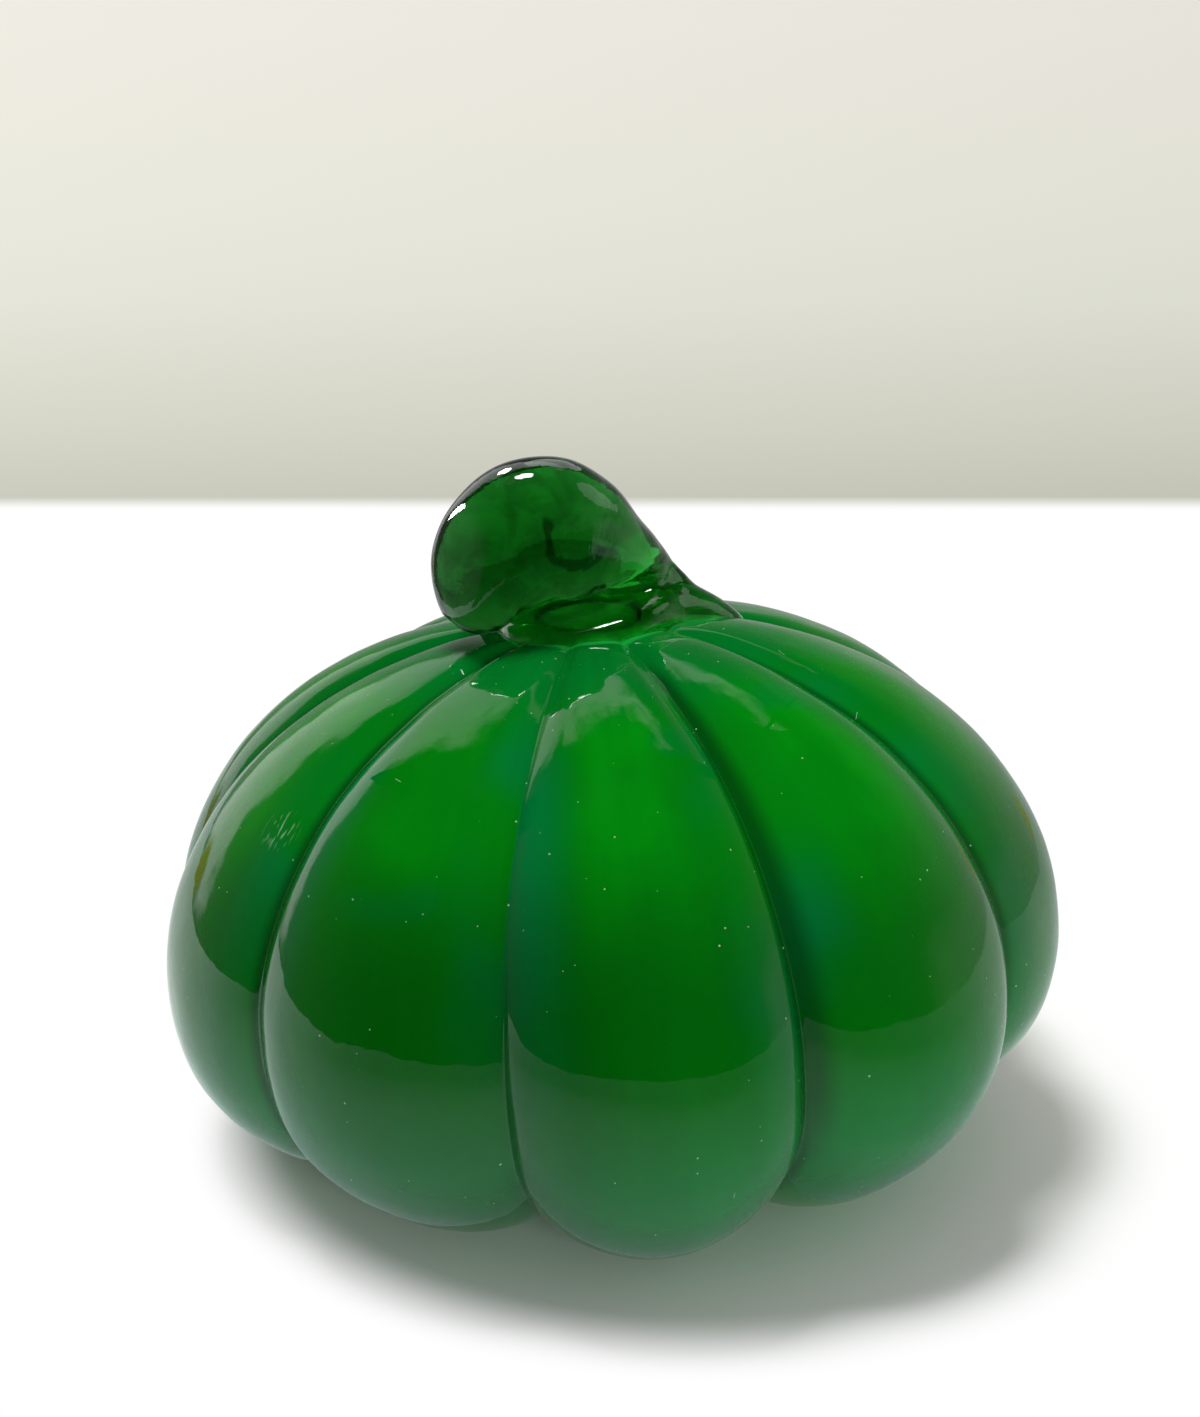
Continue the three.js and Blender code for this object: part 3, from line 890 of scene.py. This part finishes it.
class GOURD_OT_stem(Operator):
    """Draw the curled stem"""

    bl_idname = "gourd.stem"
    bl_label = "Curled Stem"

    def execute(self, context):
        settings = context.scene.gourd_stem
        spots, faces, drawn_out = stem_mesh(settings)
        turn, lean = settings.turn, -context.scene.gourd_body.lean
        crown = BODY_LINE[0][2]
        x = spots[:, 0] * math.cos(turn) - spots[:, 1] * math.sin(turn) + crown * math.sin(lean)
        y = spots[:, 0] * math.sin(turn) + spots[:, 1] * math.cos(turn)
        z = spots[:, 2] + crown * math.cos(lean)
        mesh = bpy.data.meshes.new("stem_glass")
        mesh.from_pydata((np.stack([x, y, z], -1) / MM_PER_METRE).tolist(), [], faces)
        drawn = mesh.attributes.new("drawn", "FLOAT_VECTOR", "POINT")
        drawn.data.foreach_set("vector", drawn_out.ravel())
        mesh.polygons.foreach_set("use_smooth", [True] * len(mesh.polygons))
        mesh.materials.append(green_clear_glass(settings))
        piece = new_object("stem_glass", mesh)
        seated(piece, STEM_SHIFT)
        outward(piece)
        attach(piece, "root")
        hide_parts("stem")
        return {"FINISHED"}


def stage_piece(name, spots, faces, material):
    mesh = bpy.data.meshes.new(name)
    mesh.from_pydata(spots, [], faces)
    mesh.materials.append(material)
    piece = new_object(name, mesh)
    return piece


def seen_rays(n):
    """1 for the rays that show a background: seen straight, mirrored or through glass."""
    path = n.outputs("ShaderNodeLightPath")
    mirrored = n.highest(path["Is Glossy Ray"], path["Is Transmission Ray"])
    return n.highest(path["Is Camera Ray"], mirrored)


def backdrop(name, colour_of, shown_of):
    """A matt surface in its own colour, which shows that same colour as a background where it's asked to."""
    material, n, shader, output = principled(name)
    place = n.split(n.place())
    colour = colour_of(n, place)
    n.feed(shader.inputs["Base Color"], colour)
    shader.inputs["Roughness"].default_value = 0.8
    shader.inputs["Specular IOR Level"].default_value = 0.1
    amount, seen = shown_of(n, place, colour)
    matt = Value(n, shader.outputs[0])
    shown = n.value("ShaderNodeEmission", {"Color": seen, "Strength": 1.0})
    share = seen_rays(n) * amount
    n.feed(output.inputs["Surface"], n.value("ShaderNodeMixShader", {0: share, 1: matt, 2: shown}))
    return material


def wall_colour(n, place, stage):
    """Pale warm grey, with painted shade darker down at the table and painted light a little lighter to the
    left.
    """
    ramp = n.add("ShaderNodeValToRGB", {"Fac": place[2] / 0.2})
    stops = (
        (0.0, stage.wall_low),
        (0.12, (0.638, 0.645, 0.552, 1)),
        (0.35, (0.752, 0.756, 0.667, 1)),
        (0.52, (0.79, 0.785, 0.70, 1)),
        (0.8, stage.wall_high),
    )
    elements = ramp.color_ramp.elements
    while len(elements) < len(stops):
        elements.new(0.5)
    for element, (position, colour) in zip(elements, stops):
        element.position, element.color = position, colour
    side = 1.0 - n.math("MINIMUM", n.highest(place[0], -0.3), 0.3) * 0.22
    return n.mix(1.0, Value(n, ramp.outputs[0]), n.grey(side), blend_type="MULTIPLY")


def table_material(stage):
    """White table top, painted pale green near the gourd for the light its green glass casts. It fades into
    the wall at its far edge, and shows plain white away from the gourd, a painted light whose edge trims the
    gourd's shadow.
    """
    def far(place):
        return place[1].ease(stage.wall_distance - 0.025, stage.wall_distance + 0.004)

    def colour(n, place):
        reach = n.math("SQRT", place[0] ** 2.0 + place[1] ** 2.0)
        # Painted light: pale green near the gourd, for the light the green glass casts on the table
        table_and_painted_green_light = n.mix(reach.ease(0.04, 0.057), (0.76, 0.9, 0.79, 1), stage.table)
        return n.mix(far(place), table_and_painted_green_light, stage.wall_low)

    def shown(n, place, colour):
        # Painted light: white shown on an ellipse set off to the right, which trims the outer part of the
        # gourd's shadow to its edge
        reach = n.math("SQRT", ((place[0] - 0.011) / 1.08) ** 2.0 + place[1] ** 2.0)
        amount = reach.ease(0.052, 0.065) * place[1].ease(-0.2, -0.06)
        return amount, n.mix(far(place), (1, 1, 1, 1), stage.wall_low)

    return backdrop("table_top", colour, shown)


def wall_material(stage):
    return backdrop(
        "back_wall", lambda n, place: wall_colour(n, place, stage), lambda n, place, colour: (1.0, colour))


def room_world(stage):
    """Soft light from all round, dimmer on the left, and a pale background."""
    world = bpy.data.worlds.new("room")
    world.use_nodes = True
    n = NodeTree(world.node_tree)
    x = n.split(n.value("ShaderNodeTexCoord", output="Generated"))[0]
    dim = (*(0.5 * part for part in stage.room[:3]), 1)
    colour = n.mix(seen_rays(n), n.mix(x.ease(-0.7, 0.4), dim, stage.room), stage.background)
    n.feed(world.node_tree.nodes["Background"].inputs["Color"], colour)
    bpy.context.scene.world = world


def polish_piece(name, spots, faces, colour_of, one_sided=False):
    """A glowing surface that only the gourd's own mirroring sees, with a colour for each place on it."""
    material, n, _, output = principled(name)
    glow = n.value("ShaderNodeEmission", {"Color": colour_of(n, n.place()), "Strength": 1.0})
    if one_sided:
        behind = n.value("ShaderNodeNewGeometry", output="Backfacing")
        clear = n.value("ShaderNodeBsdfTransparent")
        glow = n.value("ShaderNodeMixShader", {0: behind, 1: glow, 2: clear})
    n.feed(output.inputs["Surface"], glow)
    piece = stage_piece(name, spots, faces, material)
    for ray in ("camera", "diffuse", "transmission", "volume_scatter", "shadow"):
        setattr(piece, "visible_" + ray, False)


def room_seen(n, place):
    """The room as the gourd mirrors it: dark in front, soft walls behind and a tall window on the left."""
    way = n.vector("NORMALIZE", place)
    x, y, z = n.split(way)
    walls = y.ease(-0.8, 0.7) * x.ease(-0.7, 0.1, 0.2, 0.38) * z.ease(0.15, 0.85, 1.0, 0.0)
    strip = x.ease(0.55, 0.85) * y.ease(-0.5, -0.15) * z.ease(0.2, 0.5, 0.34, 0.0)

    # The window leans to one side, and its edges are ragged as uneven glass shows them
    ragged = n.value("ShaderNodeTexNoise", {"Vector": way, "Scale": 7.0, "Detail": 3.0}, "Color")
    bent = way + (ragged - (0.5, 0.5, 0.5)).scaled(0.16)
    off = abs(n.dot(bent, WINDOW_ACROSS) + 0.238)
    up = n.split(bent)[2]
    window = off.ease(0.2, 0.29, 0.85, 0.0) * (n.dot(bent, WINDOW_AHEAD) > 0.0)
    window = window * up.ease(0.0, 0.1) * up.ease(0.87, 0.93, 1.0, 0.0)
    light = n.grey(n.highest(walls, strip) + window + 0.006)

    # Two small warm patches low down, one on each side
    left = n.distance(way, WARM_LEFT).ease(0.05, 0.12, 1.0, 0.0)
    right = n.distance(way, WARM_RIGHT).ease(0.04, 0.09, 0.7, 0.0)
    return n.mix(n.highest(left, right), light, (0.5, 0.3, 0.08, 1))


def table_seen(n, place):
    """The table as the gourd mirrors it: white on the left, greyer on the right and falling off in front."""
    flat = n.split(place)
    reach = n.vector("LENGTH", place, output="Value")
    side, front = flat[0] / reach, flat[1] * -1.0 / reach
    level = side.ease(-1.0, 1.0, 1.1, 0.7)
    dim = 1.0 - front.ease(-0.25, 0.85) * reach.ease(0.07, 0.21, 0.25, 0.72)
    back = front.ease(-1.0, -0.2, 0.55, 1.0)
    under = reach.ease(0.045, 0.068, 0.4, 1.0)
    cool = n.mix(front.ease(-0.4, 0.6), (0.9, 1, 0.95, 1), (0.78, 0.97, 0.96, 1))
    return cool.scaled(level * dim * back * under)


def banded(rings, sides=64):
    """Points round each ring, given as its reach and height, and faces between each ring and the next."""
    turns = [2 * math.pi * side / sides for side in range(sides)]
    spots = [
        (reach * math.cos(turn), reach * math.sin(turn), height)
        for reach, height in rings for turn in turns]
    faces = [
        (low + side, low + (side + 1) % sides, low + sides + (side + 1) % sides, low + sides + side)
        for low in range(0, sides * (len(rings) - 1), sides) for side in range(sides)]
    return spots, faces


def mirrored_room():
    """A tent that only the polish sees, as a glass photographer hangs one: a dome over a round of table."""
    rises = [math.pi / 2 * ring / 16 for ring in range(17)]
    dome = [(TENT_RADIUS * math.cos(rise), TENT_RADIUS * math.sin(rise)) for rise in rises]
    polish_piece("mirrored_room", *banded(dome), room_seen)
    polish_piece("mirrored_table", *banded([(0.045, 0.0004), (TENT_RADIUS, 0.0004)]), table_seen)


def dark_card():
    """Keeps the pale table out of the stem: a card behind it and a fence before it, dark on one side."""
    spots = [(-0.018, 0.009, 0.066), (0.001, 0.009, 0.066), (0.001, 0.009, 0.083), (-0.018, 0.009, 0.083)]
    fence = [math.radians(turn) for turn in range(-158, -17, 14)]
    for turn, after in zip(fence, fence[1:]):
        for way, height in ((after, 0.062), (turn, 0.062), (turn, 0.0805), (after, 0.0805)):
            spots.append((0.032 * math.cos(way) - 0.006, 0.032 * math.sin(way) - 0.009, height))
    faces = [tuple(range(first, first + 4)) for first in range(0, len(spots), 4)]
    polish_piece("dark_card", spots, faces, lambda n, place: (0.001, 0.02, 0.002, 1), one_sided=True)


def soft_lamp(name, place, target, size, power):
    light = bpy.data.lights.new(name, "AREA")
    light.shape, light.size, light.energy = "DISK", size, power
    lamp = new_object(name, light)
    lamp.location = place
    lamp.rotation_euler = (Vector(target) - Vector(place)).to_track_quat("-Z", "Y").to_euler()
    lamp.visible_glossy = False
    return lamp


def glint(name, place, size, power):
    """A small bright source that only the stem mirrors, where the fire-polished glass sparkles."""
    lamp = soft_lamp(name, place, CURL, size, power)
    lamp.visible_glossy = True
    lamp.visible_transmission = False
    only = bpy.data.collections.new(name)
    only.objects.link(bpy.data.objects["stem_glass"])
    lamp.light_linking.receiver_collection = only


class GOURD_OT_stage(Operator):
    """Set up the table, the wall, the light and the camera"""

    bl_idname = "gourd.stage"
    bl_label = "Stage"

    def execute(self, context):
        scene = context.scene
        stage = scene.gourd_stage
        side, edge, back, top = stage.half_width, -stage.table_edge, stage.wall_distance, stage.wall_height
        table = [(-side, edge, 0), (side, edge, 0), (side, back, 0), (-side, back, 0)]
        wall = [(-side, back, 0), (side, back, 0), (side, back, top), (-side, back, top)]
        stage_piece("table", table, [(0, 1, 2, 3)], table_material(stage))
        stage_piece("wall", wall, [(0, 1, 2, 3)], wall_material(stage))
        room_world(stage)
        mirrored_room()
        dark_card()
        soft_lamp("key", (-0.145, 0.045, 0.85), (0, 0, 0), 0.3, 5.4)
        soft_lamp("fill", (0.22, -0.6, 0.14), (0, 0, 0.02), 0.3, 1.8)
        for name, place, size, power in GLINTS:
            glint(name, place, size, power)
        data = bpy.data.cameras.new("camera")
        data.lens, data.sensor_width, data.clip_start = stage.lens, 36, 0.01
        camera = new_object("camera", data)
        camera.location = stage.camera_place
        camera.rotation_euler = (math.pi / 2 - stage.camera_pitch, 0, stage.camera_yaw)
        scene.camera = camera
        scene.view_settings.view_transform = "Standard"
        return {"FINISHED"}


class GOURD_PT_panel(Panel):
    """Lists the gourd's pieces and their sizes."""

    bl_label = "Glass Gourd"
    bl_idname = "GOURD_PT_panel"
    bl_space_type = "VIEW_3D"
    bl_region_type = "UI"
    bl_category = "Gourd"

    def draw(self, context):
        scene = context.scene
        parts = (
            (scene.gourd_body, (GOURD_OT_casing, GOURD_OT_core)),
            (scene.gourd_stem, (GOURD_OT_stem,)),
            (scene.gourd_stage, (GOURD_OT_stage,)),
        )
        for settings, operators in parts:
            box = self.layout.box()
            for name in settings.__annotations__:
                box.prop(settings, name)
            for operator in operators:
                box.operator(operator.bl_idname)


CLASSES = (
    GourdBody, GourdStem, GourdStage,
    GOURD_OT_casing, GOURD_OT_core, GOURD_OT_stem, GOURD_OT_stage,
    GOURD_PT_panel,
)


def register():
    for cls in CLASSES:
        bpy.utils.register_class(cls)
    bpy.types.Scene.gourd_body = PointerProperty(type=GourdBody)
    bpy.types.Scene.gourd_stem = PointerProperty(type=GourdStem)
    bpy.types.Scene.gourd_stage = PointerProperty(type=GourdStage)


def unregister():
    for name in ("gourd_body", "gourd_stem", "gourd_stage"):
        delattr(bpy.types.Scene, name)
    for cls in reversed(CLASSES):
        bpy.utils.unregister_class(cls)


def main():
    register()
    bpy.ops.gourd.casing()
    bpy.ops.gourd.core()
    bpy.ops.gourd.stem()
    bpy.ops.gourd.stage()


if __name__ == "__main__":
    main()
